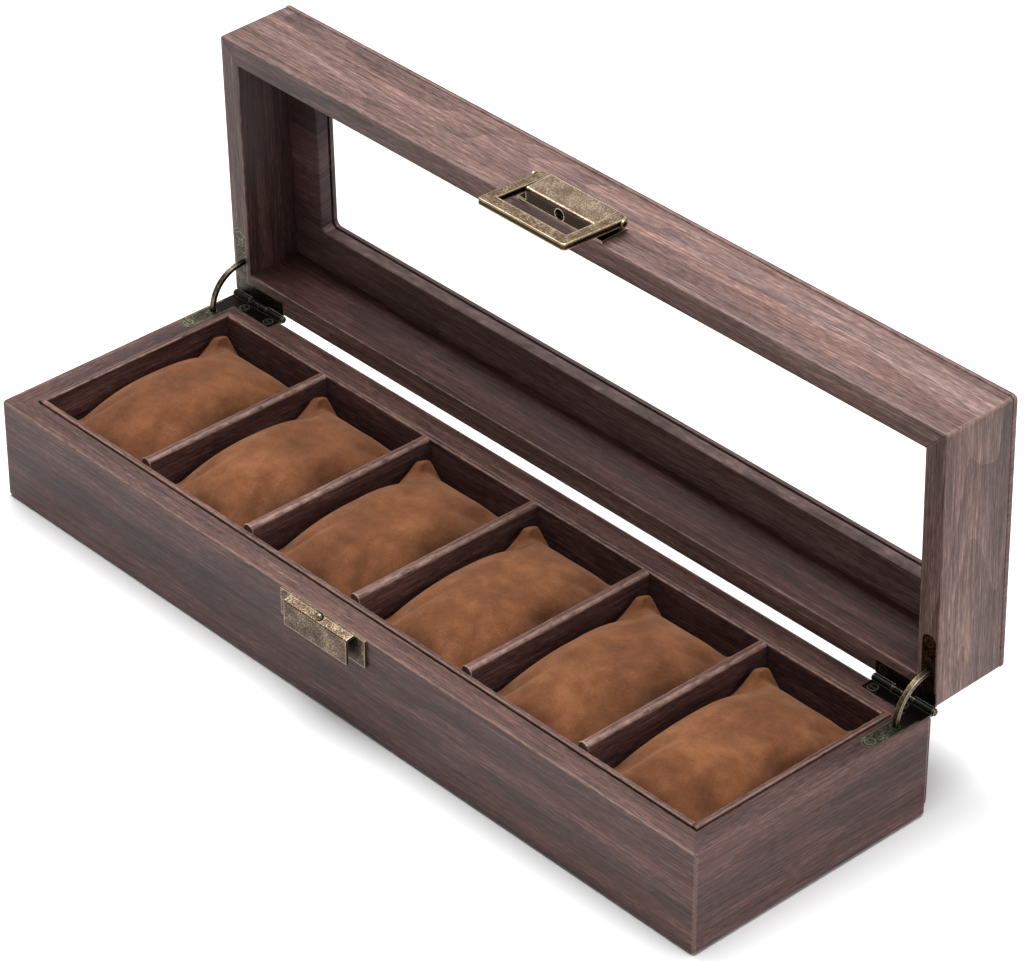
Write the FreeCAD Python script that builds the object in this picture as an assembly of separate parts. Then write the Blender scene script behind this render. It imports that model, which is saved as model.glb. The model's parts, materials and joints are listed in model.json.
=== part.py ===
"""Watch box for six watches: hinged lid with a glass window, wrapped wooden case, six cushions.

Millimetres.  The origin is the centre of the case's footprint on its underside, +X to the right
along the length, +Y to the back where the hinges are, +Z up.  Everything on the lid is drawn
with the lid closed and then turned about the hinge axis to the open rest pose.
"""
import os

import FreeCAD
import Part
from FreeCAD import Vector

# ---------------------------------------------------------------- driving sizes
LENGTH = 370.0
WIDTH = 112.0
WALL = 9.6
CORNER_R = 1.8
EDGE_R = 0.9
RIM_Z = 42.4
RIM_GAP = 0.6
LID_TOP_Z = 76.8
LID_OPEN_DEG = 88.5
CELLS = 6

# ---------------------------------------------------------------- case
HALF_L = LENGTH / 2
HALF_W = WIDTH / 2
INNER_X = HALF_L - WALL
INNER_Y = HALF_W - WALL
FELT = 0.8
FELT_INSET = 2.0
BOTTOM = 3.2
BOTTOM_TOP_Z = FELT + BOTTOM
FLOOR_LINING = 1.5
FLOOR_TOP_Z = BOTTOM_TOP_Z + FLOOR_LINING
LINING = 2.2
LINING_GROOVE = 0.4
LINING_TOP_Z = RIM_Z + 0.8
CELL_X = INNER_X - LINING_GROOVE - LINING
CELL_Y = INNER_Y - LINING_GROOVE - LINING
DIVIDER = 4.2
DIVIDER_TOP_Z = LINING_TOP_Z + 0.2
DIVIDER_FRONT_GAP = 2.0
CELL_PITCH = (2 * CELL_X + DIVIDER) / CELLS
COVER_BOARD = 1.8
COVER_REVEAL = 1.6
COVER_CORNER_R = 2.0

# ---------------------------------------------------------------- lid, drawn closed
LID_Z = RIM_Z + RIM_GAP
PANEL = 2.0
PANEL_Z = LID_TOP_Z - PANEL
PANEL_OVERHANG = 0.2
PANEL_CORNER_R = CORNER_R + PANEL_OVERHANG
BOARD_Z = 67.2
WINDOW_X = 160.0
WINDOW_Y = 30.0
WINDOW_R = 2.5
GLASS_Z = 72.3
GLASS_LAP = 3.0
GLASS_PLAY = 0.3

# ---------------------------------------------------------------- hinges
AXIS_Y = HALF_W + 1.85
AXIS_Z = RIM_Z + RIM_GAP / 2
PIN_R = 0.75
PIN_CLEARANCE = 0.05
PIN_HEAD = 0.5
PIN_HEAD_R = 1.2
KNUCKLE_R = 1.55
KNUCKLE_GAP = 0.4
LEAF = 0.8
LEAF_X0 = 156.5
LEAF_X1 = 184.4
LEAF_Y0 = 50.5
ARM_X = 180.5
ARM_HALF = 3.2
ARM_SCREW_Y = 30.4
STAY_R = 15.0
STAY_THICK = 1.5
STAY_WIDE = 1.9
STAY_HEAD_DEG = 4.0
STAY_HEAD_FROM_DEG = 6.3
STAY_HEAD_THICK = 3.0
STAY_HEAD_WIDE = 4.6
STAY_PLAY = 0.3
POCKET_THICK = 4.6
POCKET_WIDE = 5.6
POCKET_PLAY_DEG = 2.5
SCREW_R = 2.0
SCREW_HEAD = 1.1
SHANK_R = 0.9
SHANK = 7.0
SLOT_HALF = 0.25
SLOT_DEPTH = 0.35

# ---------------------------------------------------------------- clasp
SHEET = 1.0
KEEPER_HALF = 22.5
KEEPER_HOOD_HALF = 16.7
KEEPER_Z0 = 31.0
KEEPER_Z1 = RIM_Z - 0.3
KEEPER_DEPTH = 4.6
KEEPER_SLOPE = 0.9
KEEPER_BEND_R = 0.7
PEG_R = 1.7
PEG_STEM = 1.6
ROUND_HEAD = 0.7
ROUND_HEAD_R = 1.3
FRONT = -HALF_W
HASP_HALF = 17.3
HASP_Z0 = 43.6
HASP_Z1 = 56.0
HASP_DEPTH = 6.0
HASP_BEND_R = 1.2
PEG_HOLE_R = PEG_R + 0.5
RING_HALF = 22.2
RING_INNER = 17.6
RING_Z0 = 24.8
RING_BAR = 5.5
RING_THICK = 2.6
RING_AXIS_Z = 53.0
RING_AXIS_DEPTH = 4.6
RING_REST_DEG = 4.2
RING_PIN_R = 0.9
RING_PIN_HEAD = 0.7
RING_PIN_HEAD_R = 1.5
RING_PLAY = 0.3
RING_CORNER_R = 1.5
RING_EDGE_R = 0.5

X_DIR = Vector(1, 0, 0)
Y_DIR = Vector(0, 1, 0)
Z_DIR = Vector(0, 0, 1)
HINGE_POINT = Vector(0, AXIS_Y, AXIS_Z)
RING_POINT = Vector(0, -HALF_W - RING_AXIS_DEPTH, RING_AXIS_Z)

os.makedirs("parts", exist_ok=True)


def block(x0, x1, y0, y1, z0, z1):
    """A box between two corners, given in any order."""
    size = (abs(x1 - x0), abs(y1 - y0), abs(z1 - z0))
    return Part.makeBox(*size, Vector(min(x0, x1), min(y0, y1), min(z0, z1)))


def prism(points, height):
    """An upright prism over a polygon given as (x, y, z) corners."""
    face = Part.Face(Part.makePolygon([Vector(*p) for p in points + points[:1]]))
    return face.extrude(Vector(0, 0, height))


def edges_where(shape, test):
    """Edges whose two ends and middle all pass the test."""
    found = []
    for edge in shape.Edges:
        middle = edge.valueAt((edge.FirstParameter + edge.LastParameter) / 2)
        points = [v.Point for v in edge.Vertexes] + [middle]
        if all(test(p) for p in points):
            found.append(edge)
    return found


def round_rect(half_x, half_y, z0, z1, radius):
    """A plate with rounded upright corners, centred on the Z axis."""
    plate = block(-half_x, half_x, -half_y, half_y, z0, z1)
    upright = [e for e in plate.Edges if abs(e.tangentAt(e.FirstParameter).z) > 0.9]
    return plate.makeFillet(radius, upright)


def mirrored(shape, side):
    """The right-hand shape for side +1, its mirror image for side -1."""
    if side > 0:
        return shape
    return shape.mirror(Vector(0, 0, 0), X_DIR)


def opened(shape):
    """A lid piece drawn closed, turned to the open rest pose."""
    turned = shape.copy()
    turned.rotate(HINGE_POINT, X_DIR, -LID_OPEN_DEG)
    return turned


def save(name, shape):
    """Write one node."""
    if len(shape.Solids) != 1 or not shape.isValid():
        raise ValueError("%s: %d solids, valid %s" % (name, len(shape.Solids), shape.isValid()))
    shape.Solids[0].exportStep("parts/%s.step" % name)


def mitred_walls(z0, z1, rim_z):
    """Four walls mitred where they meet, their outer edges and the inner edge of the rim rounded."""
    outer = round_rect(HALF_L, HALF_W, z0, z1, CORNER_R)
    outer = outer.makeFillet(EDGE_R, edges_where(outer, lambda p: p.z in (z0, z1)))
    shell = outer.cut(block(-INNER_X, INNER_X, -INNER_Y, INNER_Y, z0, z1))
    inner_rim = edges_where(shell, lambda p: abs(p.z - rim_z) < 0.01
                            and abs(p.x) < INNER_X + 0.01 and abs(p.y) < INNER_Y + 0.01)
    shell = shell.makeFillet(EDGE_R / 2, inner_rim)
    reach = 2 * WALL
    long_side = [(-INNER_X, INNER_Y, z0), (INNER_X, INNER_Y, z0),
                 (INNER_X + reach, INNER_Y + reach, z0), (-INNER_X - reach, INNER_Y + reach, z0)]
    back_zone = prism(long_side, z1 - z0)
    front_zone = back_zone.mirror(Vector(0, 0, 0), Y_DIR)
    short_side = [(INNER_X, -INNER_Y, z0), (INNER_X + reach, -INNER_Y - reach, z0),
                  (INNER_X + reach, INNER_Y + reach, z0), (INNER_X, INNER_Y, z0)]
    right_zone = prism(short_side, z1 - z0)
    left_zone = right_zone.mirror(Vector(0, 0, 0), X_DIR)
    zones = {"front": front_zone, "back": back_zone, "left": left_zone, "right": right_zone}
    return {name: shell.common(zone) for name, zone in zones.items()}


def above_rim(shape):
    """A shape on the case's rim, mirrored up to its twin on the lid's rim."""
    return shape.mirror(HINGE_POINT, Z_DIR)


# ---------------------------------------------------------------- hinge pieces, right-hand side
def knuckle_spans():
    """Lengths of the three knuckles: case, lid, case."""
    each = (LEAF_X1 - LEAF_X0 - 2 * KNUCKLE_GAP) / 3
    starts = [LEAF_X0 + i * (each + KNUCKLE_GAP) for i in range(3)]
    return [(x, x + each) for x in starts]


def barrel(x0, x1, radius):
    """A cylinder on the hinge axis."""
    return Part.makeCylinder(radius, x1 - x0, Vector(x0, AXIS_Y, AXIS_Z), X_DIR)


def leaf_blank():
    """Outline of a case leaf: a foot along the back rim and an arm along the side rim."""
    z0 = RIM_Z - LEAF
    foot = block(LEAF_X0, LEAF_X1, LEAF_Y0, HALF_W, z0, RIM_Z)
    arm = block(ARM_X - ARM_HALF, ARM_X + ARM_HALF, ARM_SCREW_Y, LEAF_Y0, z0, RIM_Z)
    tip = Part.makeCylinder(ARM_HALF, LEAF, Vector(ARM_X, ARM_SCREW_Y, z0), Z_DIR)
    return foot.fuse([arm, tip]).removeSplitter()


SCREW_SPOTS = [(160.0, 53.3), (174.0, 53.3), (ARM_X, ARM_SCREW_Y)]


def screw_blank(x, y):
    """Countersunk screw without its slot, its top on the rim plane."""
    top = Vector(x, y, RIM_Z)
    head = Part.makeCone(SHANK_R, SCREW_R, SCREW_HEAD, top - Z_DIR * SCREW_HEAD, Z_DIR)
    shank = Part.makeCylinder(SHANK_R, SHANK, top - Z_DIR * (SHANK + SCREW_HEAD / 2), Z_DIR)
    return head.fuse(shank).removeSplitter()


def screw(x, y):
    """Countersunk screw with a slotted head."""
    slot = block(x - SCREW_R, x + SCREW_R, y - SLOT_HALF, y + SLOT_HALF,
                 RIM_Z - SLOT_DEPTH, RIM_Z + SLOT_DEPTH)
    return screw_blank(x, y).cut(slot)


def stay_slot():
    """Slot through an arm for the stay."""
    half_x = STAY_WIDE / 2 + STAY_PLAY
    half_y = STAY_THICK / 2 + STAY_PLAY
    y = AXIS_Y - STAY_R
    return block(ARM_X - half_x, ARM_X + half_x, y - half_y, y + half_y, RIM_Z - 2, RIM_Z + 1)


def leaf(spans):
    """A leaf with its knuckles, drawn on the case's rim."""
    shape = leaf_blank()
    z0 = RIM_Z - LEAF
    for x0, x1 in spans:
        tongue = block(x0, x1, HALF_W, AXIS_Y - KNUCKLE_GAP, z0, RIM_Z)
        shape = shape.fuse([tongue, barrel(x0, x1, KNUCKLE_R)])
    shape = shape.cut(stay_slot())
    for x, y in SCREW_SPOTS:
        shape = shape.cut(screw_blank(x, y))
    return shape.removeSplitter()


def ring_sector(r0, r1, half_x, deg0, deg1):
    """Part of a ring about the hinge axis; 0 degrees points to the back, 90 up, 180 forward."""
    face = Part.Face(Part.makePolygon([
        Vector(ARM_X - half_x, AXIS_Y + r0, AXIS_Z), Vector(ARM_X + half_x, AXIS_Y + r0, AXIS_Z),
        Vector(ARM_X + half_x, AXIS_Y + r1, AXIS_Z), Vector(ARM_X - half_x, AXIS_Y + r1, AXIS_Z),
        Vector(ARM_X - half_x, AXIS_Y + r0, AXIS_Z)]))
    face.rotate(HINGE_POINT, X_DIR, deg0)
    return face.revolve(HINGE_POINT, X_DIR, deg1 - deg0)


HALF_SPAN = LID_OPEN_DEG / 2 + STAY_HEAD_FROM_DEG + STAY_HEAD_DEG


def stay():
    """Curved stay that slides through both arms, with a stop head on each end."""
    middle = 180 - LID_OPEN_DEG / 2
    inner = STAY_R - STAY_THICK / 2
    outer = STAY_R + STAY_THICK / 2
    bar = ring_sector(inner, outer, STAY_WIDE / 2, middle - HALF_SPAN, middle + HALF_SPAN)
    heads = []
    for end in (-1, 1):
        near = middle + end * (HALF_SPAN - STAY_HEAD_DEG)
        far = middle + end * HALF_SPAN
        heads.append(ring_sector(STAY_R - STAY_HEAD_THICK / 2, STAY_R + STAY_HEAD_THICK / 2,
                                 STAY_HEAD_WIDE / 2, min(near, far), max(near, far)))
    return bar.fuse(heads).removeSplitter()


def stay_pocket():
    """Curved pocket in the case's wall that the stay slides down into."""
    return ring_sector(STAY_R - POCKET_THICK / 2, STAY_R + POCKET_THICK / 2, POCKET_WIDE / 2,
                       180 - POCKET_PLAY_DEG, 180 + HALF_SPAN + POCKET_PLAY_DEG)


def hinge_pin():
    """Pin through the three knuckles, headed at both ends."""
    body = barrel(LEAF_X0, LEAF_X1, PIN_R)
    ends = [barrel(LEAF_X0 - PIN_HEAD, LEAF_X0, PIN_HEAD_R),
            barrel(LEAF_X1, LEAF_X1 + PIN_HEAD, PIN_HEAD_R)]
    return body.fuse(ends).removeSplitter()


case_spans = [knuckle_spans()[0], knuckle_spans()[2]]
lid_spans = [knuckle_spans()[1]]
case_leaf = leaf(case_spans).cut(barrel(LEAF_X0 - 1, LEAF_X1 + 1, PIN_R))
lid_leaf = above_rim(leaf(lid_spans)).cut(barrel(LEAF_X0 - 1, LEAF_X1 + 1, PIN_R + PIN_CLEARANCE))

rim_cuts = [leaf_blank(), stay_pocket()] + [screw_blank(x, y) for x, y in SCREW_SPOTS]
case_cuts = [mirrored(c, s) for c in rim_cuts for s in (-1, 1)]
lid_cuts = [mirrored(above_rim(c), s) for c in rim_cuts for s in (-1, 1)]

# ---------------------------------------------------------------- case
KEEPER_SCREW_X = (-10.5, 10.5)


def keeper_screw(x):
    """Round-headed screw through the keeper's back plate into the front wall."""
    seat = Vector(x, FRONT - SHEET, (KEEPER_Z0 + KEEPER_Z1) / 2)
    head = Part.makeCone(SCREW_R, ROUND_HEAD_R, ROUND_HEAD, seat, -Y_DIR)
    shank = Part.makeCylinder(SHANK_R, SHANK, seat, Y_DIR)
    return head.fuse(shank).removeSplitter()


case_cuts += [keeper_screw(x) for x in KEEPER_SCREW_X]
for name, wall in mitred_walls(FELT, RIM_Z, RIM_Z).items():
    save("case_%s_wall" % name, wall.cut(case_cuts))

save("case_bottom", block(-INNER_X, INNER_X, -INNER_Y, INNER_Y, FELT, BOTTOM_TOP_Z))
save("underside_felt", round_rect(HALF_L - FELT_INSET, HALF_W - FELT_INSET, 0, FELT, CORNER_R))
save("floor_lining", block(-CELL_X, CELL_X, -CELL_Y, CELL_Y, BOTTOM_TOP_Z, FLOOR_TOP_Z))


def soft_top(board_shape, top_z, radius):
    """Rounds the long top edges of an upright board."""
    top = edges_where(board_shape, lambda p: abs(p.z - top_z) < 0.01)
    return board_shape.makeFillet(radius, [e for e in top if e.Length > 50])


for name, end in (("left", -1), ("right", 1)):
    lining = block(end * CELL_X, end * (CELL_X + LINING), -CELL_Y - LINING, CELL_Y + LINING,
                   BOTTOM_TOP_Z, LINING_TOP_Z)
    save("lining_%s" % name, soft_top(lining, LINING_TOP_Z, LINING / 3))
for name, end in (("front", -1), ("back", 1)):
    lining = block(-CELL_X, CELL_X, end * CELL_Y, end * (CELL_Y + LINING), BOTTOM_TOP_Z,
                   LINING_TOP_Z)
    save("lining_%s" % name, soft_top(lining, LINING_TOP_Z, LINING / 3))

back_panel = round_rect(HALF_L - COVER_REVEAL, (RIM_Z - FELT) / 2 - COVER_REVEAL, 0, COVER_BOARD,
                        COVER_CORNER_R)
outer_face = edges_where(back_panel, lambda p: p.z > COVER_BOARD - 0.01)
back_panel = back_panel.makeFillet(COVER_BOARD / 3, outer_face)
back_panel.rotate(Vector(0, 0, 0), X_DIR, -90)
back_panel.translate(Vector(0, HALF_W, (RIM_Z + FELT) / 2))
save("case_back_panel", back_panel)

# dividers stand on the floor lining, against the back lining and just short of the front one
for i in range(CELLS - 1):
    x = (i - (CELLS - 2) / 2) * CELL_PITCH
    divider = block(x - DIVIDER / 2, x + DIVIDER / 2, DIVIDER_FRONT_GAP - CELL_Y, CELL_Y,
                    FLOOR_TOP_Z, DIVIDER_TOP_Z)
    save("divider_%d" % (i + 1), soft_top(divider, DIVIDER_TOP_Z, DIVIDER * 0.45))

# ---------------------------------------------------------------- cushions
CUSHION_PLAY = 0.5
CUSHION_X = (CELL_PITCH - DIVIDER) / 2 - CUSHION_PLAY
CUSHION_Y = CELL_Y - CUSHION_PLAY
CUSHION_END_Z = 33.0
CUSHION_TOP_Z = 45.0
CUSHION_CORNER_R = 6.0
CUSHION_EDGE_R = 5.0


def cushion(x):
    """A plump pad, arched from front to back, with soft edges."""
    z0 = FLOOR_TOP_Z
    a = Vector(x - CUSHION_X, -CUSHION_Y, z0)
    b = Vector(x - CUSHION_X, CUSHION_Y, z0)
    c = Vector(x - CUSHION_X, CUSHION_Y, CUSHION_END_Z)
    d = Vector(x - CUSHION_X, -CUSHION_Y, CUSHION_END_Z)
    crown = Part.Arc(c, Vector(x - CUSHION_X, 0, CUSHION_TOP_Z), d).toShape()
    outline = Part.Wire([Part.makeLine(a, b), Part.makeLine(b, c), crown, Part.makeLine(d, a)])
    pad = Part.Face(outline).extrude(Vector(2 * CUSHION_X, 0, 0))
    upright = [e for e in pad.Edges if abs(e.tangentAt(e.FirstParameter).z) > 0.9]
    pad = pad.makeFillet(CUSHION_CORNER_R, upright)
    upper = edges_where(pad, lambda p: p.z > CUSHION_END_Z - CUSHION_EDGE_R / 2)
    return pad.makeFillet(CUSHION_EDGE_R, upper)


for i in range(CELLS):
    save("cushion_%d" % (i + 1), cushion((i - (CELLS - 1) / 2) * CELL_PITCH))

# ---------------------------------------------------------------- keeper on the case's front
keeper_back = block(-KEEPER_HALF, KEEPER_HALF, FRONT, FRONT - SHEET, KEEPER_Z0, KEEPER_Z1)
lip = FRONT - KEEPER_DEPTH
hood_section = [(FRONT, KEEPER_Z1), (lip, KEEPER_Z1 - KEEPER_SLOPE), (lip, KEEPER_Z0),
                (lip + SHEET, KEEPER_Z0), (lip + SHEET, KEEPER_Z1 - KEEPER_SLOPE - SHEET),
                (FRONT, KEEPER_Z1 - SHEET)]
corners = [Vector(-KEEPER_HOOD_HALF, y, z) for y, z in hood_section + hood_section[:1]]
hood = Part.Face(Part.makePolygon(corners)).extrude(Vector(2 * KEEPER_HOOD_HALF, 0, 0))
bend = edges_where(hood, lambda p: p.y < lip + 0.01 and p.z > KEEPER_Z1 - KEEPER_SLOPE - 0.01)
hood = hood.makeFillet(KEEPER_BEND_R, bend)
peg_foot = Vector(0, FRONT - KEEPER_DEPTH / 2, KEEPER_Z1 - SHEET - KEEPER_SLOPE / 2)
keeper = keeper_back.fuse(hood).removeSplitter()
for name, x in zip(("left", "right"), KEEPER_SCREW_X):
    save("keeper_screw_%s" % name, keeper_screw(x))
button = Part.makeSphere(PEG_R, peg_foot + Z_DIR * SHEET).common(
    block(-PEG_R, PEG_R, FRONT - KEEPER_DEPTH, FRONT, KEEPER_Z1 - KEEPER_SLOPE / 2 + 0.1,
          RIM_Z + PEG_R))
peg = Part.makeCylinder(SHANK_R, PEG_STEM, peg_foot, Z_DIR).fuse(button).removeSplitter()
save("keeper_peg", peg)
save("keeper", keeper.cut([peg] + [keeper_screw(x) for x in KEEPER_SCREW_X]))

# ---------------------------------------------------------------- hinges and screws
for name, side in (("left", -1), ("right", 1)):
    save("hinge_%s_case_leaf" % name, mirrored(case_leaf, side))
    save("hinge_%s_lid_leaf" % name, opened(mirrored(lid_leaf, side)))
    save("hinge_%s_pin" % name, mirrored(hinge_pin(), side))
    save("hinge_%s_stay" % name, mirrored(stay(), side))
    for i, (x, y) in enumerate(SCREW_SPOTS):
        save("case_screw_%s_%d" % (name, i + 1), mirrored(screw(x, y), side))
        save("lid_screw_%s_%d" % (name, i + 1), opened(mirrored(above_rim(screw(x, y)), side)))

# ---------------------------------------------------------------- lid
for name, wall in mitred_walls(LID_Z, PANEL_Z, LID_Z).items():
    save("lid_%s_wall" % name, opened(wall.cut(lid_cuts)))

board = block(-INNER_X, INNER_X, -INNER_Y, INNER_Y, BOARD_Z, PANEL_Z)
board = board.cut(round_rect(WINDOW_X, WINDOW_Y, BOARD_Z, PANEL_Z, WINDOW_R))
inner_edge = edges_where(board, lambda p: abs(p.z - BOARD_Z) < 0.01 and abs(p.x) < WINDOW_X + 1
                         and abs(p.y) < WINDOW_Y + 1)
board = board.makeFillet(EDGE_R / 2, inner_edge)
board = board.cut(block(-WINDOW_X - GLASS_LAP, WINDOW_X + GLASS_LAP, -WINDOW_Y - GLASS_LAP,
                        WINDOW_Y + GLASS_LAP, GLASS_Z, PANEL_Z))
save("lid_window_board", opened(board))
lap = GLASS_LAP - GLASS_PLAY
save("lid_glass", opened(block(-WINDOW_X - lap, WINDOW_X + lap, -WINDOW_Y - lap,
                               WINDOW_Y + lap, GLASS_Z, PANEL_Z)))
panel = round_rect(HALF_L + PANEL_OVERHANG, HALF_W + PANEL_OVERHANG, PANEL_Z, LID_TOP_Z,
                   PANEL_CORNER_R)
panel = panel.makeFillet(PANEL * 0.4, edges_where(panel, lambda p: p.z in (PANEL_Z, LID_TOP_Z)))
panel = panel.cut(round_rect(WINDOW_X, WINDOW_Y, PANEL_Z, LID_TOP_Z, WINDOW_R))
window_edge = edges_where(panel, lambda p: abs(p.z - LID_TOP_Z) < 0.01 and abs(p.x) < WINDOW_X + 1
                          and abs(p.y) < WINDOW_Y + 1)
save("lid_top_panel", opened(panel.makeFillet(PANEL * 0.3, window_edge)))

# ---------------------------------------------------------------- hasp on the lid's front
plate_half = RING_HALF - RING_PIN_HEAD
plate = block(-plate_half, plate_half, FRONT, FRONT - SHEET, HASP_Z0, HASP_Z1)
hood = block(-HASP_HALF, HASP_HALF, FRONT, FRONT - HASP_DEPTH, HASP_Z0, HASP_Z1)
bends = edges_where(hood, lambda p: p.y < FRONT - HASP_DEPTH + 0.01 and abs(p.z - HASP_Z0) < 0.01)
hood = hood.makeFillet(HASP_BEND_R, bends)
hollow = block(-HASP_HALF + SHEET, HASP_HALF - SHEET, FRONT - SHEET, FRONT - HASP_DEPTH + SHEET,
               HASP_Z0 + SHEET, HASP_Z1)
peg_hole = Part.makeCylinder(PEG_HOLE_R, 2 * SHEET, Vector(0, peg_foot.y, HASP_Z0 - SHEET / 2), Z_DIR)
hasp = plate.fuse(hood).cut([hollow, peg_hole])


def ring_pin(side):
    """Rivet that the ring's arm turns on, fixed in the hood's end."""
    start = HASP_HALF - SHEET - RING_PLAY
    end = RING_HALF + RING_PLAY
    body = Part.makeCylinder(RING_PIN_R, end - start, RING_POINT + X_DIR * start, X_DIR)
    head = Part.makeCylinder(RING_PIN_HEAD_R, RING_PIN_HEAD, RING_POINT + X_DIR * end, X_DIR)
    return mirrored(body.fuse(head).removeSplitter(), side)


save("hasp", opened(hasp.cut([ring_pin(-1), ring_pin(1)]).removeSplitter()))
for name, side in (("left", -1), ("right", 1)):
    save("ring_pin_%s" % name, opened(ring_pin(side)))

near = FRONT - RING_AXIS_DEPTH + RING_THICK / 2
far = near - RING_THICK
ring = block(-RING_HALF, RING_HALF, near, far, RING_Z0, HASP_Z1)
corners = [e for e in ring.Edges if abs(e.tangentAt(e.FirstParameter).y) > 0.9]
ring = ring.makeFillet(RING_CORNER_R, corners)
ring = ring.makeFillet(RING_EDGE_R, edges_where(ring, lambda p: abs(p.y - far) < 0.01))
ring = ring.cut(block(-RING_INNER, RING_INNER, near + 1, far - 1, RING_Z0 + RING_BAR, HASP_Z1 + 1))
ring = ring.cut(Part.makeCylinder(RING_PIN_R + PIN_CLEARANCE, 2 * RING_HALF,
                                  RING_POINT - X_DIR * RING_HALF, X_DIR))
ring.rotate(RING_POINT, X_DIR, -RING_REST_DEG)
save("hasp_ring", opened(ring))
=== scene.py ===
"""Looks of the watch box: materials, stuffed cushions, light and camera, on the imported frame."""
import json
import math

import bpy
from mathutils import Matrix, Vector


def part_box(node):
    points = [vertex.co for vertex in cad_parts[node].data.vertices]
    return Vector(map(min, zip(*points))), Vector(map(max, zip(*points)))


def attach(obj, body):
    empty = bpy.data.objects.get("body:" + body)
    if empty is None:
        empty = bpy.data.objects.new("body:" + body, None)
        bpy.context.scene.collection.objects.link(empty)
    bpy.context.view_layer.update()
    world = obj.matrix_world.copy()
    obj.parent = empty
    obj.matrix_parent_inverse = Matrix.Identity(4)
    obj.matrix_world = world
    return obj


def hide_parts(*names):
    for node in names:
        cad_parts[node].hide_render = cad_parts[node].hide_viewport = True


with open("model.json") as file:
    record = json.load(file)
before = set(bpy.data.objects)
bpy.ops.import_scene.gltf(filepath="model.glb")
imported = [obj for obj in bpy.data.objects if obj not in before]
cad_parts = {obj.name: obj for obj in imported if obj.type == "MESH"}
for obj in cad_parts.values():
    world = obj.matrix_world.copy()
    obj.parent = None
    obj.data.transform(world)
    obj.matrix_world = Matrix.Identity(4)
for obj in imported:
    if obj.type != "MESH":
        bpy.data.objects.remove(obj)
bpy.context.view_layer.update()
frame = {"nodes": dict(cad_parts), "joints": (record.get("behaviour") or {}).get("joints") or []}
nodes = frame["nodes"]

# ---------------------------------------------------------------- named values, metres
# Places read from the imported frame.
lid_hinge = next(j for j in frame["joints"] if j["name"] == "lid_hinge")
HINGE = Vector(lid_hinge["pos_m"])
SHUT_ANGLE = math.radians(lid_hinge["range_deg"][1])
CASE_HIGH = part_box("case_back_wall")[1]
RIM_Z = CASE_HIGH.z
DIVIDER_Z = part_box("divider_1")[1].z
ARM_END_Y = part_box("case_screw_right_3")[1].y
# The shut lid's rim is as far above the hinge as the case's rim is below it.
LID_RIM_Z = 2 * HINGE.z - RIM_Z
# In the joints at the corners, x is this much farther out than y.
MITRE = CASE_HIGH.x - CASE_HIGH.y

CUSHIONS = 6
DIVIDERS = 5

# The photograph's viewing angle.
VIEW_AZIMUTH = math.radians(47.315)
VIEW_ELEVATION = math.radians(34.02)
VIEW_DISTANCE = 1.6177
VIEW_AIM = Vector((0.0123, 0.0219, 0.0686))
LENS = 160.6
SENSOR_WIDTH = 36


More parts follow.
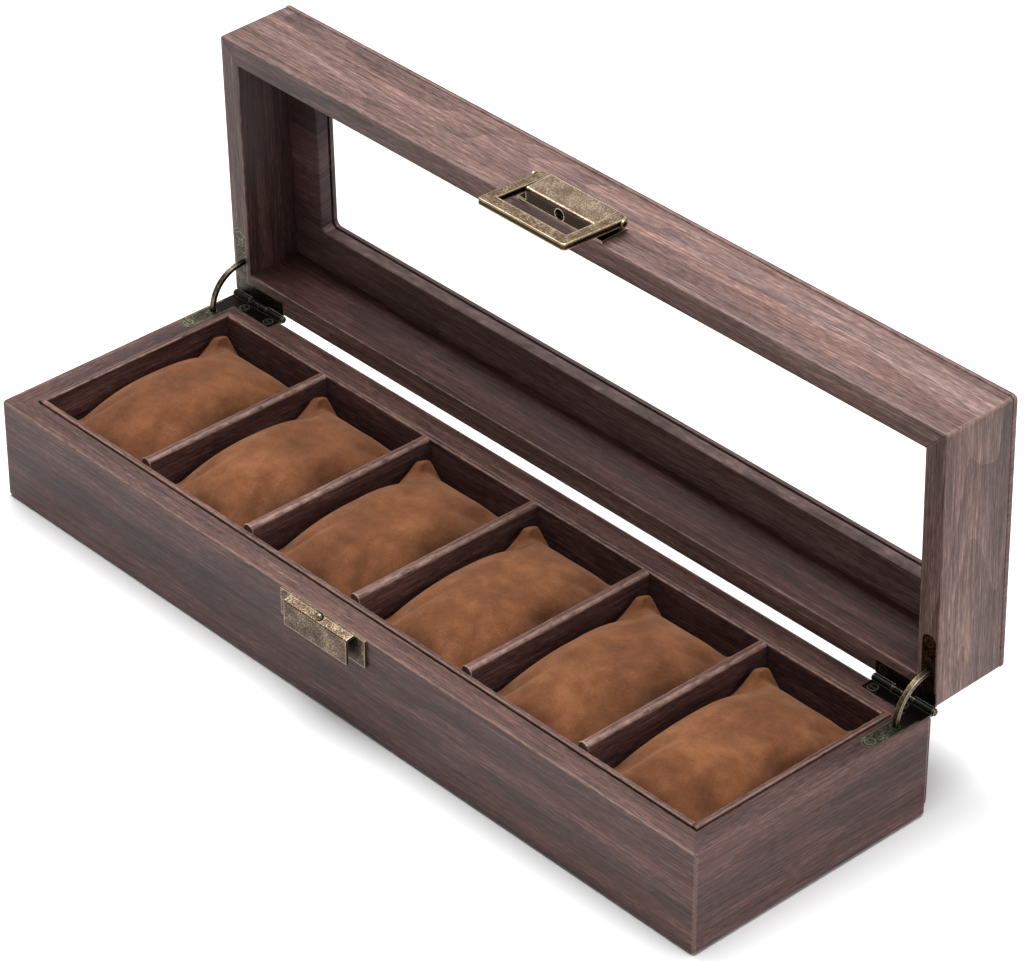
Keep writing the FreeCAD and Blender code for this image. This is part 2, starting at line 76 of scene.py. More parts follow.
# ---------------------------------------------------------------- node trees
class Tree:
    """A material's node tree with short calls for adding and joining nodes."""

    def __init__(self, name):
        self.material = bpy.data.materials.new(name)
        self.material.use_nodes = True
        self.nodes = self.material.node_tree.nodes
        self.links = self.material.node_tree.links
        self.nodes.clear()
        self.output = self.nodes.new("ShaderNodeOutputMaterial")

    def add(self, kind, inputs=None, **settings):
        """Adds a node; inputs are values, or sockets to join."""
        made = self.nodes.new("ShaderNode" + kind)
        for key, value in settings.items():
            setattr(made, key, value)
        for key, value in (inputs or {}).items():
            if isinstance(value, bpy.types.NodeSocket):
                self.links.new(value, made.inputs[key])
            else:
                made.inputs[key].default_value = value
        return made

    def math(self, operation, *values):
        """One step of arithmetic."""
        made = self.add("Math", dict(enumerate(values)), operation=operation)
        return made.outputs[0]

    def dot(self, vector, direction):
        """How far a vector reaches along a direction; the direction may also be a socket."""
        made = self.add("VectorMath", {0: vector, 1: direction}, operation="DOT_PRODUCT")
        return made.outputs["Value"]

    def point(self, on_lid=False):
        """Place on the object, with the lid's pieces turned back to where they sit when shut."""
        place = self.add("TexCoord").outputs["Object"]
        if on_lid:
            turned = self.add("VectorRotate", {"Vector": place, "Center": HINGE,
                                               "Angle": SHUT_ANGLE}, rotation_type="X_AXIS")
            place = turned.outputs[0]
        return place

    def noise(self, vector, scale=1.0, detail=2.0, roughness=0.5):
        """Cloudy noise from 0 to 1."""
        made = self.add("TexNoise", {"Vector": vector, "Scale": scale, "Detail": detail,
                                     "Roughness": roughness})
        return made.outputs["Fac"]

    def stretch(self, u, v, u_scale, v_scale, seed):
        """A texture place with its own scale along and across the grain."""
        made = self.add("CombineXYZ", {0: self.math("MULTIPLY", u, u_scale),
                                       1: self.math("MULTIPLY", v, v_scale), 2: seed})
        return made.outputs[0]

    def ramp(self, value, stops):
        """A colour that runs through stops, each a position and a colour."""
        made = self.add("ValToRGB", {0: value})
        elements = made.color_ramp.elements
        elements[0].position, elements[0].color = stops[0][0], (*stops[0][1], 1)
        elements[1].position, elements[1].color = stops[-1][0], (*stops[-1][1], 1)
        for position, colour in stops[1:-1]:
            elements.new(position).color = (*colour, 1)
        return made.outputs[0]

    def mix(self, fraction, first, second, blend="MIX"):
        """The first colour where the fraction is 0 and the second where it is 1."""
        made = self.add("Mix", {0: fraction, 6: first, 7: second}, data_type="RGBA",
                        blend_type=blend)
        return made.outputs[2]

    def tinted(self, where, colour, tint):
        """The colour, multiplied by a tint where the mask is 1."""
        return self.mix(where, colour, self.mix(1.0, colour, tint, "MULTIPLY"))

    def bump(self, height, distance, strength):
        """A surface normal that follows a height."""
        made = self.add("Bump", {"Height": height, "Distance": distance, "Strength": strength})
        return made.outputs[0]

    def surface(self, **inputs):
        """The main shader; keyword names use _ for spaces."""
        named = {key.replace("_", " "): value for key, value in inputs.items()}
        shader = self.add("BsdfPrincipled", named)
        self.links.new(shader.outputs[0], self.output.inputs[0])
        return self.material


# ---------------------------------------------------------------- materials
# Wood-grain film, dark to light: one film, as a darker copy for the case (painted shade) and a
# lighter copy for the lid (painted light).
CASE_SHADED_TONES = [(0.39, (0.0148, 0.0067, 0.0068)), (0.46, (0.0410, 0.0190, 0.0185)),
              (0.54, (0.0840, 0.0405, 0.0375)), (0.61, (0.1640, 0.0860, 0.0750))]
LID_LIT_TONES = [(0.35, (0.025, 0.014, 0.013)), (0.45, (0.067, 0.039, 0.036)),
             (0.55, (0.137, 0.083, 0.074)), (0.64, (0.262, 0.174, 0.147))]
# The warm and cool tints that drift over the film.
WARM_TINT = (1.10, 0.92, 0.82)
COOL_TINT = (0.92, 0.95, 1.00)
# The film rubbed through along an edge, and the shadow in a mitre joint.
EDGE_TONE = (0.215, 0.138, 0.118, 1)
MITRE_TONE = (0.03, 0.018, 0.018, 1)
MITRE_HALF_WIDTH = 0.00022
MITRE_DEPTH = 0.0004
# The top of a rim, this deep, is tinted: rub wear with painted light on the top faces; the case's
# walls have a tint for each side, and the right one is painted shade.
TOP_BAND_DEPTH = 0.0006
RUB_AND_TOP_LIGHT_TINT = (1.15, 1.15, 1.02, 1)
RIM_WEAR_AND_LIGHT = {"front": (1.02, 1.04, 0.93, 1), "back": (1.06, 1.05, 0.92, 1),
            "left": (0.95, 0.95, 0.90, 1), "right": (0.52, 0.49, 0.45, 1)}
# Painted shade on the lid's inside: it starts this far in from the lid's outer sides, and is
# deeper on the back wall.
LID_SHADE_INSET = 0.0015
LID_INSIDE_SHADE_TINT = (0.68, 0.61, 0.63, 1)
LID_BACK_SHADE_TINT = (0.46, 0.34, 0.37, 1)
# Painted light on the dividers' front ends, which sit in shadow in their gaps: faces that turn
# this nearly towards the given direction are lightened.
END_PAINTED_LIGHT_TINT = (2.6, 2.3, 2.1, 1)
END_FACING = 0.8

# Each layer of the grain: how fast it changes along and across the grain, per metre, and what it
# adds to the seed.
GRAIN = {"drift": (6, 9, 3), "band": (3.5, 62, 7), "streak": (32, 560, 0), "line": (46, 1800, 37),
         "fibre": (240, 2400, 11), "arch": (5.5, 34, 29), "tint": (5, 85, 23)}
# How much of the tone each layer makes.
BAND_SHARE = 0.28
STREAK_SHARE = 0.14
LINE_SHARE = 0.25
FIBRE_SHARE = 0.33
# How far the drift layer moves the grain sideways, and how many rings the arch layer is cut into.
DRIFT_REACH = 0.006
ARCH_RINGS = 9.0
# The film is rubbed through along an edge where its fibres stand highest.
EDGE_WEAR = 1.6
EDGE_WEAR_START = -0.35


def worn_edge(t, start=0.985, full=0.90):
    """1 where the surface turns between two faces square to the axes, 0 on those faces."""
    normal = t.add("SeparateXYZ", {0: t.add("TexCoord").outputs["Normal"]})
    sides = [t.math("ABSOLUTE", normal.outputs[i]) for i in range(3)]
    flat = t.math("MAXIMUM", t.math("MAXIMUM", sides[0], sides[1]), sides[2])
    return t.add("MapRange", {0: flat, 1: start, 2: full, 3: 0.0, 4: 1.0}).outputs[0]


def grain_layer(t, kind, u, v, seed, **settings):
    """One layer of the grain, from its place along (u) and across (v) it."""
    u_scale, v_scale, seed_step = GRAIN[kind]
    return t.noise(t.stretch(u, v, u_scale, v_scale, seed + seed_step), **settings)


def wood_wrap(name, along, across, on_lid=False, seed=0.0, mitre_z=None, figure=0.03,
              worn_lit_top_z=None, worn_lit_top_tint=RUB_AND_TOP_LIGHT_TINT, inside_shade_tint=LID_INSIDE_SHADE_TINT, painted_light_end=None):
    """Wood-grain film: streaks run along one direction and change quickly across it.

    Above the top height the surface gets rub wear and painted light, faces that look along the end
    direction get painted light, the lid's inside gets painted shade, and a rim at mitre_z shows
    the joints at its corners.
    """
    t = Tree(name)
    place = t.point(on_lid)
    u = t.dot(place, along)
    v = t.dot(place, across)
    drift = grain_layer(t, "drift", u, v, seed, detail=1)
    v = t.math("MULTIPLY_ADD", drift, DRIFT_REACH, v)
    band = grain_layer(t, "band", u, v, seed, detail=2)
    streak = grain_layer(t, "streak", u, v, seed, detail=2)
    line = grain_layer(t, "line", u, v, seed, detail=1)
    fibre = grain_layer(t, "fibre", u, v, seed, detail=2, roughness=0.6)
    arch = grain_layer(t, "arch", u, v, seed, detail=1)
    rings = t.math("FRACT", t.math("MULTIPLY", arch, ARCH_RINGS))
    tone = t.math("MULTIPLY", band, BAND_SHARE)
    tone = t.math("MULTIPLY_ADD", streak, STREAK_SHARE, tone)
    tone = t.math("MULTIPLY_ADD", line, LINE_SHARE, tone)
    tone = t.math("MULTIPLY_ADD", fibre, FIBRE_SHARE, tone)
    tone = t.math("MULTIPLY_ADD", t.math("SUBTRACT", rings, 0.5), figure, tone)
    # Painted light and shade: the lid takes the lighter copy of the film, the case the darker
    # copy.
    colour = t.ramp(tone, LID_LIT_TONES if on_lid else CASE_SHADED_TONES)
    tint = grain_layer(t, "tint", u, v, seed, detail=2)
    tint_colour = t.ramp(tint, [(0.38, WARM_TINT), (0.62, COOL_TINT)])
    colour = t.mix(0.5, colour, tint_colour, "MULTIPLY")
    edge = t.math("MULTIPLY", worn_edge(t),
                  t.math("MULTIPLY_ADD", fibre, EDGE_WEAR, EDGE_WEAR_START))
    colour = t.mix(t.add("Clamp", {0: edge}).outputs[0], colour, EDGE_TONE)
    # Painted shade on the lid's inside.
    if on_lid:
        colour = t.tinted(lid_shade_mask(t, place), colour, inside_shade_tint)
    # Rub wear and painted light: the top faces above this height are tinted lighter, except the
    # case's right rim, which is tinted darker as painted shade.
    if worn_lit_top_z is not None:
        height = t.add("SeparateXYZ", {0: place}).outputs[2]
        top = t.math("GREATER_THAN", height, worn_lit_top_z)
        colour = t.tinted(top, colour, worn_lit_top_tint)
    # Painted light on the divider ends, which sit in shadow.
    if painted_light_end is not None:
        turned = t.dot(t.add("TexCoord").outputs["Normal"], painted_light_end)
        end = t.math("GREATER_THAN", turned, END_FACING)
        colour = t.tinted(end, colour, END_PAINTED_LIGHT_TINT)
    if mitre_z is not None:
        colour = t.mix(mitre_line(t, place, mitre_z), colour, MITRE_TONE)
    rough = t.math("MULTIPLY_ADD", fibre, 0.35, 0.30)
    height = t.math("MULTIPLY_ADD", streak, 0.5, fibre)
    normal = t.bump(height, distance=0.00012, strength=0.6)
    return t.surface(Base_Color=colour, Roughness=rough, Normal=normal, Specular_IOR_Level=0.25)


def lid_shade_mask(t, place):
    """1 on the lid's surfaces in from its outer sides and above its rim, where shade is painted.
    """
    split = t.add("SeparateXYZ", {0: place})
    x = t.math("ABSOLUTE", split.outputs[0])
    y = t.math("ABSOLUTE", split.outputs[1])
    inside = t.math("LESS_THAN", x, CASE_HIGH.x - LID_SHADE_INSET)
    inside = t.math("MULTIPLY", inside, t.math("LESS_THAN", y, CASE_HIGH.y - LID_SHADE_INSET))
    above_rim = t.math("GREATER_THAN", split.outputs[2], LID_RIM_Z + TOP_BAND_DEPTH)
    return t.math("MULTIPLY", inside, above_rim)


def mitre_line(t, place, rim_z):
    """1 on the thin joint that runs from each inner to each outer corner of a rim."""
    split = t.add("SeparateXYZ", {0: place})
    x = t.math("ABSOLUTE", split.outputs[0])
    y = t.math("ABSOLUTE", split.outputs[1])
    off = t.math("ABSOLUTE", t.math("SUBTRACT", t.math("SUBTRACT", x, y), MITRE))
    height = t.math("ABSOLUTE", t.math("SUBTRACT", split.outputs[2], rim_z))
    near = t.math("LESS_THAN", off, MITRE_HALF_WIDTH)
    return t.math("MULTIPLY", near, t.math("LESS_THAN", height, MITRE_DEPTH))


SUEDE_TONES = [(0.34, (0.051, 0.0172, 0.0062)), (0.50, (0.103, 0.0353, 0.0132)),
               (0.66, (0.170, 0.0650, 0.0260))]
SHEEN_TINT = (0.85, 0.55, 0.36, 1)
NAP_SHARE = 0.5
PATCH_SHARE = 0.34
NAP_GRAIN_SHARE = 0.16


def suede(name, seed):
    """Brushed suede: a soft nap that lies lighter and darker in patches."""
    t = Tree(name)
    place = t.point()
    split = t.add("SeparateXYZ", {0: place})
    moved = t.add("CombineXYZ", {0: split.outputs[0], 1: split.outputs[1],
                                 2: t.math("ADD", split.outputs[2], seed)}).outputs[0]
    nap = t.noise(moved, scale=42, detail=5, roughness=0.6)
    patch = t.noise(moved, scale=130, detail=4, roughness=0.65)
    grain = t.noise(moved, scale=1500, detail=2)
    tone = t.math("MULTIPLY_ADD", nap, NAP_SHARE, t.math("MULTIPLY", patch, PATCH_SHARE))
    tone = t.math("MULTIPLY_ADD", grain, NAP_GRAIN_SHARE, tone)
    colour = t.ramp(tone, SUEDE_TONES)
    height = t.math("MULTIPLY_ADD", patch, 0.8, grain)
    normal = t.bump(height, distance=0.00022, strength=0.55)
    return t.surface(Base_Color=colour, Roughness=0.92, Normal=normal, Sheen_Weight=0.30,
                     Sheen_Roughness=0.5, Sheen_Tint=SHEEN_TINT, Specular_IOR_Level=0.15)


BLACKENED = (0.016, 0.013, 0.011, 1)
BLACKEN_FADE = 0.002
# Grime with painted shade in recesses: this share of the dark tone, where something else is this
# near.
GRIME_AND_SHADE_SHARE = 0.3
GRIME_AND_SHADE_REACH = 0.009
# How much more an edge is rubbed bright where the noise is high; the bright edge is wear and
# painted highlight.
RUB_AND_HIGHLIGHT_GAIN = 26.0
MOTTLE_SHARE = 0.75
CLOUD_SHARE = 0.25


def worn_metal(name, dark, mid, bright, edge_width, on_lid=False, roughness=0.36, blacken_y=None,
               lit_facing=None):
    """Patinated metal, mottled on its faces, its edges rubbed bright and painted as highlights.

    It is black behind blacken_y, its recesses get grime and painted shade, and its faces that turn
    away from the lit direction get painted shade.
    """
    t = Tree(name)
    place = t.point(on_lid)
    rounded = t.add("Bevel", {"Radius": edge_width}, samples=6).outputs[0]
    plain = t.add("NewGeometry").outputs["Normal"]
    edge = t.math("SUBTRACT", 1.0, t.dot(rounded, plain))
    rub_and_highlight = t.noise(place, scale=350, detail=3)
    edge = t.math("MULTIPLY", edge, t.math("MULTIPLY_ADD", rub_and_highlight, RUB_AND_HIGHLIGHT_GAIN, 1.0))
    edge = t.add("Clamp", {0: edge}).outputs[0]
    mottle = t.noise(place, scale=1500, detail=4, roughness=0.7)
    cloud = t.noise(place, scale=220, detail=2)
    tone = t.math("MULTIPLY_ADD", mottle, MOTTLE_SHARE, t.math("MULTIPLY", cloud, CLOUD_SHARE))
    colour = t.ramp(tone, [(0.36, dark), (0.50, mid), (0.66, bright)])
    # Grime with painted shade: the metal darkens where other surfaces are near.
    hollow = t.add("AmbientOcclusion", {"Distance": GRIME_AND_SHADE_REACH}, samples=6).outputs["AO"]
    open_air = t.add("MapRange", {0: hollow, 1: 0.30, 2: 0.85}).outputs[0]
    grime_and_shade = tuple(GRIME_AND_SHADE_SHARE * c for c in dark) + (1,)
    colour = t.mix(open_air, grime_and_shade, colour)
    # Painted shade: faces that turn away from the lit direction darken to the dark tone.
    if lit_facing is not None:
        turned = t.dot(t.add("TexCoord").outputs["Normal"], lit_facing)
        flat = t.add("MapRange", {0: turned, 1: 0.35, 2: 0.8}).outputs[0]
        colour = t.mix(flat, grime_and_shade, colour)
    if blacken_y is not None:
        depth = t.add("SeparateXYZ", {0: place}).outputs[1]
        black = t.add("MapRange", {0: depth, 1: blacken_y - BLACKEN_FADE,
                                   2: blacken_y + BLACKEN_FADE}).outputs[0]
        colour = t.mix(black, colour, BLACKENED)
    # Rub wear with painted highlights: the edges go bright.
    colour = t.mix(edge, colour, (*bright, 1))
    rough = t.math("MULTIPLY_ADD", mottle, 0.3, roughness - 0.15)
    return t.surface(Base_Color=colour, Metallic=1.0, Roughness=rough,
                     Normal=t.bump(mottle, distance=0.00003, strength=0.4))


FELT_TONES = [(0.3, (0.008, 0.007, 0.007)), (0.7, (0.035, 0.028, 0.026))]


def felt(name):
    """Short dark felt."""
    t = Tree(name)
    fuzz = t.noise(t.point(), scale=1600, detail=3)
    colour = t.ramp(fuzz, FELT_TONES)
    return t.surface(Base_Color=colour, Roughness=0.95, Sheen_Weight=0.2, Specular_IOR_Level=0.1,
                     Normal=t.bump(fuzz, distance=0.0002, strength=0.6))


def window_glass(name):
    """Clear glass that lets light through to what is behind it."""
    t = Tree(name)
    glass = t.add("BsdfPrincipled", {"Base Color": (0.97, 1.0, 0.99, 1), "Roughness": 0.0,
                                     "Transmission Weight": 1.0, "IOR": 1.45})
    clear = t.add("BsdfTransparent", {0: (0.97, 0.985, 0.98, 1)})
    ray = t.add("LightPath")
    passing = t.math("MAXIMUM", ray.outputs["Is Shadow Ray"], ray.outputs["Is Diffuse Ray"])
    both = t.add("MixShader", {0: passing, 1: glass.outputs[0], 2: clear.outputs[0]})
    t.links.new(both.outputs[0], t.output.inputs[0])
    return t.material


def paint(node, material):
    """Gives a CAD node one material."""
    mesh = nodes[node].data
    mesh.materials.clear()
    mesh.materials.append(material)


# Along a wall, whether it runs in x or in y.
ALONG_WALL = (1, 1, 0)
for side, across in (("front", (0, 1, 1)), ("back", (0, -1, 1)),
                     ("left", (1, 0, 1)), ("right", (-1, 0, 1))):
    flipped = (-across[0], -across[1], 1)
    inside_shade_tint = LID_BACK_SHADE_TINT if side == "back" else LID_INSIDE_SHADE_TINT
    paint("case_%s_wall" % side,
          wood_wrap("case_wrap_" + side, ALONG_WALL, across, mitre_z=RIM_Z,
                    worn_lit_top_z=RIM_Z - TOP_BAND_DEPTH, worn_lit_top_tint=RIM_WEAR_AND_LIGHT[side]))
    paint("lid_%s_wall" % side,
          wood_wrap("lid_wrap_" + side, ALONG_WALL, flipped, on_lid=True, seed=4.3,
                    mitre_z=LID_RIM_Z, figure=0.06, inside_shade_tint=inside_shade_tint))
    along = (1, 0, 0) if across[1] else (0, 1, 0)
    paint("lining_" + side, wood_wrap("lining_wrap_" + side, along, across, seed=8.1,
                                       worn_lit_top_z=RIM_Z - TOP_BAND_DEPTH))
for i in range(1, DIVIDERS + 1):
    paint("divider_%d" % i,
          wood_wrap("divider_wrap_%d" % i, (0, 1, 0), (1, 0, 1), seed=12.0 + i,
                    worn_lit_top_z=DIVIDER_Z - 1.5 * TOP_BAND_DEPTH, painted_light_end=(0, -1, 0)))
paint("case_back_panel", wood_wrap("back_panel_wrap", (1, 0, 0), (0, 1, 1), seed=20.4))
paint("case_bottom", wood_wrap("bottom_wrap", (1, 0, 0), (0, 1, 1), seed=22.4))
paint("lid_window_board",
      wood_wrap("window_board_wrap", (1, 0, 0), (0, 1, 0.2), on_lid=True, seed=25.7))
paint("lid_top_panel",
      wood_wrap("top_panel_wrap", (1, 0, 0), (0, 1, 1), on_lid=True, seed=28.9))

dark_felt = felt("dark_felt")
paint("underside_felt", dark_felt)
paint("floor_lining", dark_felt)
paint("lid_glass", window_glass("clear_glass"))

# The hinge arms on the case turn black this far behind their third screw.
ARM_BLACK_FROM = 0.011
METALS = {
    "hood_brass": dict(dark=(0.098, 0.067, 0.045), mid=(0.25, 0.180, 0.125),
                       bright=(0.66, 0.52, 0.37), edge_width=0.0008, on_lid=True,
                       lit_facing=(0, 0, 1)),
    "ring_brass": dict(dark=(0.085, 0.055, 0.030), mid=(0.220, 0.146, 0.086),
                       bright=(0.72, 0.58, 0.38), edge_width=0.0010, on_lid=True,
                       lit_facing=(0, 0, 1)),
    # The keeper's brass is a darker copy of the same brass: painted shade.
    "keeper_brass_shaded": dict(dark=(0.026, 0.016, 0.012), mid=(0.066, 0.043, 0.030),
                         bright=(0.36, 0.27, 0.18), edge_width=0.0007),
    "arm_bronze": dict(dark=(0.022, 0.021, 0.014), mid=(0.052, 0.048, 0.034),
                       bright=(0.30, 0.27, 0.19), edge_width=0.0005,
                       blacken_y=ARM_END_Y + ARM_BLACK_FROM),
    "dark_bronze": dict(dark=(0.012, 0.009, 0.008), mid=(0.022, 0.017, 0.014),
                        bright=(0.17, 0.14, 0.10), edge_width=0.0005, roughness=0.28),
    "stay_bronze": dict(dark=(0.030, 0.022, 0.013), mid=(0.085, 0.065, 0.040),
                        bright=(0.36, 0.30, 0.20), edge_width=0.0005),
}
metals = {name: worn_metal(name, **tones) for name, tones in METALS.items()}


def metal_for(node):
    """Which metal a fitting is made of, from its name; None when it isn't a fitting."""
    if node == "hasp":
        return "hood_brass"
    if node == "hasp_ring" or node.startswith("ring_pin"):
        return "ring_brass"
    if node.startswith("keeper"):
        return "keeper_brass_shaded"
    if node.endswith("_stay"):
        return "stay_bronze"
    if node.endswith("_case_leaf") or node.startswith("case_screw"):
        return "arm_bronze"
    if node.startswith(("hinge_", "lid_screw")):
        return "dark_bronze"
    return None


for node in nodes:
    if metal_for(node):
        paint(node, metals[metal_for(node)])


# ---------------------------------------------------------------- cushions
def new_piece(name, vertices, faces, material):
    """A mesh object with smooth faces."""
    mesh = bpy.data.meshes.new(name)
    mesh.from_pydata(vertices, [], faces)
    mesh.validate()
    mesh.polygons.foreach_set("use_smooth", [True] * len(mesh.polygons))
    mesh.materials.append(material)
    piece = bpy.data.objects.new(name, mesh)
    bpy.context.scene.collection.objects.link(piece)
    return piece


CUSHION_GRID = 36
# The pad starts this much inside its CAD solid, so it can swell.
PAD_MARGIN = Vector((0.0006, 0.0006, 0.0006))
PAD_TOP_MARGIN = Vector((0.0006, 0.0006, 0.0012))
# How far each side pulls in between its corners, as a share of half the pad.
EDGE_PULL = {"side": 0.035, "front": 0.05, "back": 0.12}
# How high the seam runs, as a share of the pad's height, and how sharp it stays when smoothed.
SEAM_HEIGHT = 0.58
SEAM_CREASE = 0.7
# The panels' swell: a higher side or end stays full nearer the seam, a lower crown is flatter.
SWELL_SIDE = 3.0
SWELL_END = 2.8
SWELL_CROWN = 0.66
# How much the seam rises at a corner, as a share of the pad's height, by whether the corner is on
# the right and at the back, and how far the rise spreads from it.
EAR_RISE = {(False, True): 0.29, (True, True): 0.19, (False, False): 0.07, (True, False): 0.07}
EAR_SPREAD = 1.6
# The outline's corners: higher is squarer.
ROUNDING = 5.0
# The stuffing: its length in frames, its pressure, how much too large the panels are cut, how
# stiffly they bend, and the farthest that a point may move.
SIM_FRAMES = 20
STUFFING_PRESSURE = 4.0
PANEL_SHRINK = -0.03
PANEL_STIFFNESS = 2.0
SIM_REACH = 0.0035


def pillow_point(s, t, top, low, high):
    """A point of the pillow for s and t from -1 to 1, on its top or bottom half."""
    centre = (low + high) / 2
    half = (high - low) / 2
    corner = min(1.0, EAR_SPREAD * abs(s * t) ** 3) * EAR_RISE[s > 0, t > 0]
    reach = (abs(s) ** ROUNDING + abs(t) ** ROUNDING) ** (1 / ROUNDING)
    blunt = max(abs(s), abs(t)) / reach if reach else 1.0
    pull_x = 1 - EDGE_PULL["side"] * (1 - t * t) * abs(s) ** 3
    pull_y = 1 - EDGE_PULL["back" if t > 0 else "front"] * (1 - s * s) * abs(t) ** 3
    seam_z = low.z + (SEAM_HEIGHT + corner) * 2 * half.z
    swell = ((1 - abs(s) ** SWELL_SIDE) * (1 - abs(t) ** SWELL_END)) ** SWELL_CROWN
    rise = (high.z - seam_z) if top else (low.z - seam_z)
    return Vector((centre.x + half.x * s * pull_x * blunt,
                   centre.y + half.y * t * pull_y * blunt, seam_z + rise * swell))


def pillow(index):
    """Two suede panels joined by a seam that runs round the pad, as one closed mesh."""
    low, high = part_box("cushion_%d" % index)
    low, high = low + PAD_MARGIN, high - PAD_TOP_MARGIN
    steps = range(CUSHION_GRID + 1)
    verts, faces, spot, seam = [], [], {}, []
    for top in (True, False):
        for i in steps:
            for j in steps:
                on_seam = i in (0, CUSHION_GRID) or j in (0, CUSHION_GRID)
                if on_seam and not top:
                    spot[top, i, j] = spot[True, i, j]
                    continue
                if on_seam:
                    seam.append(len(verts))
                s, t = (math.sin(math.pi * (k / CUSHION_GRID - 0.5)) for k in (i, j))
                spot[top, i, j] = len(verts)
                verts.append(pillow_point(s, t, top, low, high))
    for i in steps[:-1]:
        for j in steps[:-1]:
            square = [(i, j), (i + 1, j), (i + 1, j + 1), (i, j + 1)]
            faces.append([spot[(True, *p)] for p in square])
            faces.append([spot[(False, *p)] for p in reversed(square)])
    name = "cushion_%d_pad" % index
    piece = new_piece(name, verts, faces, suede(name + "_suede", index * 0.37))
    piece.vertex_groups.new(name="seam").add(seam, 1.0, "REPLACE")
    crease = piece.data.attributes.new("crease_edge", "FLOAT", "EDGE")
    for edge in piece.data.edges:
        if edge.vertices[0] in seam and edge.vertices[1] in seam:
            crease.data[edge.index].value = SEAM_CREASE
    return piece, low, high


def stuff(pieces):
    """Fills the pads: the panels are cut a little full, so pressure puckers them at the seam.

    Each pad comes with the corners that its points are kept within.
    """
    scene = bpy.context.scene
    for piece, _, _ in pieces:
        cloth = piece.modifiers.new("stuffing", "CLOTH")
        cloth.settings.vertex_group_mass = "seam"
        cloth.settings.use_pressure = True
        cloth.settings.uniform_pressure_force = STUFFING_PRESSURE
        cloth.settings.effector_weights.gravity = 0.0
        cloth.settings.shrink_min = PANEL_SHRINK
        cloth.settings.bending_stiffness = PANEL_STIFFNESS
        cloth.point_cache.frame_start = 1
        cloth.point_cache.frame_end = SIM_FRAMES
    for frame_number in range(1, SIM_FRAMES + 1):
        scene.frame_set(frame_number)
    graph = bpy.context.evaluated_depsgraph_get()
    settled = [[v.co.copy() for v in piece.evaluated_get(graph).data.vertices]
               for piece, _, _ in pieces]
    for (piece, low, high), places in zip(pieces, settled):
        piece.modifiers.clear()
        for vertex, place in zip(piece.data.vertices, places):
            moved = place - vertex.co
            if moved.length > SIM_REACH:
                moved = moved * (SIM_REACH / moved.length)
            place = vertex.co + moved
            vertex.co = [min(max(place[k], low[k]), high[k]) for k in range(3)]
    scene.frame_set(1)


def make_cushions():
    """The loose pads, each seamed round its edge, with the seam raised at its back corners."""
    pieces = [pillow(i) for i in range(1, CUSHIONS + 1)]
    stuff(pieces)
    for i, (piece, _, _) in enumerate(pieces, 1):
        smooth = piece.modifiers.new("smooth", "SUBSURF")
        smooth.levels = smooth.render_levels = 1
        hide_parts("cushion_%d" % i)
        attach(piece, "cushion_%d" % i)


make_cushions()


# ---------------------------------------------------------------- film ends
FILM_R = 0.00032
FILM_DROP = 0.012
# How far the bead's centre is behind the divider's front, as a share of its radius, and how high
# its arch is, as a share of half its width.
FILM_SINK = 0.4
ARCH_HEIGHT = 0.95
LEG_STEPS = 6
ARCH_STEPS = 12


def tube(name, path, radius, material, sides=8):
    """A closed-ended round bead along a path of points."""
    verts, faces = [], []
    for k, point in enumerate(path):
        ahead = (path[min(k + 1, len(path) - 1)] - path[max(k - 1, 0)]).normalized()
        across = Vector((0, 1, 0))
        out = ahead.cross(across).normalized()
        for m in range(sides):
            a = 2 * math.pi * m / sides
            verts.append(point + radius * (math.cos(a) * out + math.sin(a) * across))
    for k in range(len(path) - 1):
        for m in range(sides):
            n = (m + 1) % sides
            faces.append([k * sides + m, k * sides + n,
                          (k + 1) * sides + n, (k + 1) * sides + m])
    faces.append(list(range(sides)))
    faces.append([(len(path) - 1) * sides + m for m in reversed(range(sides))])
    return new_piece(name, verts, faces, material)


def film_end(index, material):
    """The pale cut edge of the film, an arch round the front end of a divider."""
    low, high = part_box("divider_%d" % index)
    half = (high.x - low.x) / 2
    y = low.y + FILM_R * FILM_SINK
    x = (low.x + high.x) / 2
    spring = high.z - half * ARCH_HEIGHT
    path = [Vector((x - half, y, spring - FILM_DROP * (1 - k / LEG_STEPS)))
            for k in range(LEG_STEPS)]
    for k in range(ARCH_STEPS + 1):
        angle = math.pi * (1 - k / ARCH_STEPS)
        path.append(Vector((x + half * math.cos(angle), y,
                            spring + half * ARCH_HEIGHT * math.sin(angle))))
    path += [Vector((x + half, y, spring - FILM_DROP * k / LEG_STEPS))
             for k in range(1, LEG_STEPS + 1)]
    bead = tube("divider_%d_film_end" % index, path, FILM_R, material)
    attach(bead, "case")


BACKING_TONES = [(0.40, (0.11, 0.066, 0.054)), (0.60, (0.30, 0.215, 0.18))]


def cut_film(name):
    """Pale torn paper backing at a cut edge of the film."""
    t = Tree(name)
    fray = t.noise(t.point(), scale=900, detail=3)
    colour = t.ramp(fray, BACKING_TONES)
    return t.surface(Base_Color=colour, Roughness=0.7,
                     Normal=t.bump(fray, distance=0.0001, strength=0.5))


film_edge = cut_film("cut_film_edge")
for i in range(1, DIVIDERS + 1):
    film_end(i, film_edge)


# ---------------------------------------------------------------- floor, light and camera
FLOOR_HALF = 4.0
FLOOR_TONE = (0.66, 0.66, 0.66, 1)


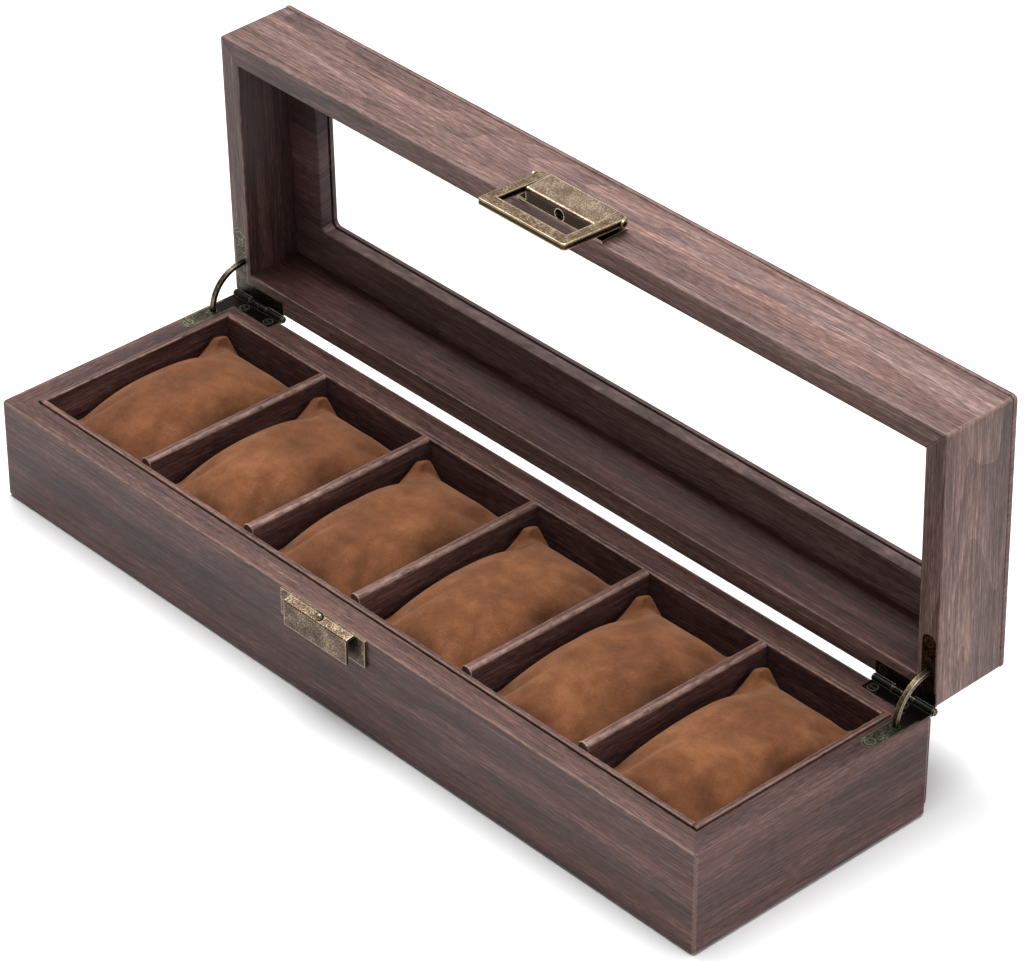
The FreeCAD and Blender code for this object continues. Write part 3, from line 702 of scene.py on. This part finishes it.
def make_floor():
    """A plain pale floor, far larger than the box."""
    pale = Tree("pale_floor").surface(Base_Color=FLOOR_TONE, Roughness=0.8, Specular_IOR_Level=0.1)
    signs = ((-1, -1), (1, -1), (1, 1), (-1, 1))
    corners = [(x * FLOOR_HALF, y * FLOOR_HALF, 0) for x, y in signs]
    new_piece("floor", corners, [(0, 1, 2, 3)], pale)


def sun_light(name, direction, spread_deg, power):
    """A far, broad overhead softbox, so the floor is lit evenly."""
    data = bpy.data.lights.new(name, "SUN")
    data.angle = math.radians(spread_deg)
    data.energy = power
    lamp = bpy.data.objects.new(name, data)
    lamp.rotation_euler = (-Vector(direction)).to_track_quat("-Z", "Y").to_euler()
    bpy.context.scene.collection.objects.link(lamp)


def area_light(name, place, aim, size, power):
    """A round softbox at a place, turned to a point."""
    data = bpy.data.lights.new(name, "AREA")
    data.shape = "DISK"
    data.size = size
    data.energy = power
    lamp = bpy.data.objects.new(name, data)
    lamp.location = place
    lamp.rotation_euler = (Vector(aim) - Vector(place)).to_track_quat("-Z", "Y").to_euler()
    bpy.context.scene.collection.objects.link(lamp)


def make_world(strength):
    """Even white light from all round."""
    world = bpy.data.worlds.new("studio")
    world.use_nodes = True
    background = world.node_tree.nodes["Background"]
    background.inputs[0].default_value = (1, 1, 1, 1)
    background.inputs[1].default_value = strength
    bpy.context.scene.world = world


def make_camera():
    """The camera at the photograph's viewing angle."""
    data = bpy.data.cameras.new("camera")
    data.lens = LENS
    data.sensor_width = SENSOR_WIDTH
    back = Vector((math.sin(VIEW_AZIMUTH) * math.cos(VIEW_ELEVATION),
                   -math.cos(VIEW_AZIMUTH) * math.cos(VIEW_ELEVATION), math.sin(VIEW_ELEVATION)))
    camera = bpy.data.objects.new("camera", data)
    camera.location = VIEW_AIM + back * VIEW_DISTANCE
    camera.rotation_euler = (-back).to_track_quat("-Z", "Y").to_euler()
    bpy.context.scene.collection.objects.link(camera)
    bpy.context.scene.camera = camera


make_floor()
make_world(strength=0.36)
sun_light("top_light", direction=(-0.1, 0.22, 1.65), spread_deg=54, power=4.9)
area_light("left_light", place=(-0.55, 0.10, 1.15), aim=(-0.08, 0.04, 0.05), size=0.8, power=9)
area_light("right_light", place=(1.7, 0.3, 1.0), aim=(0, 0.05, 0.12), size=0.9, power=9.4)
make_camera()
bpy.context.scene.view_settings.view_transform = "Standard"
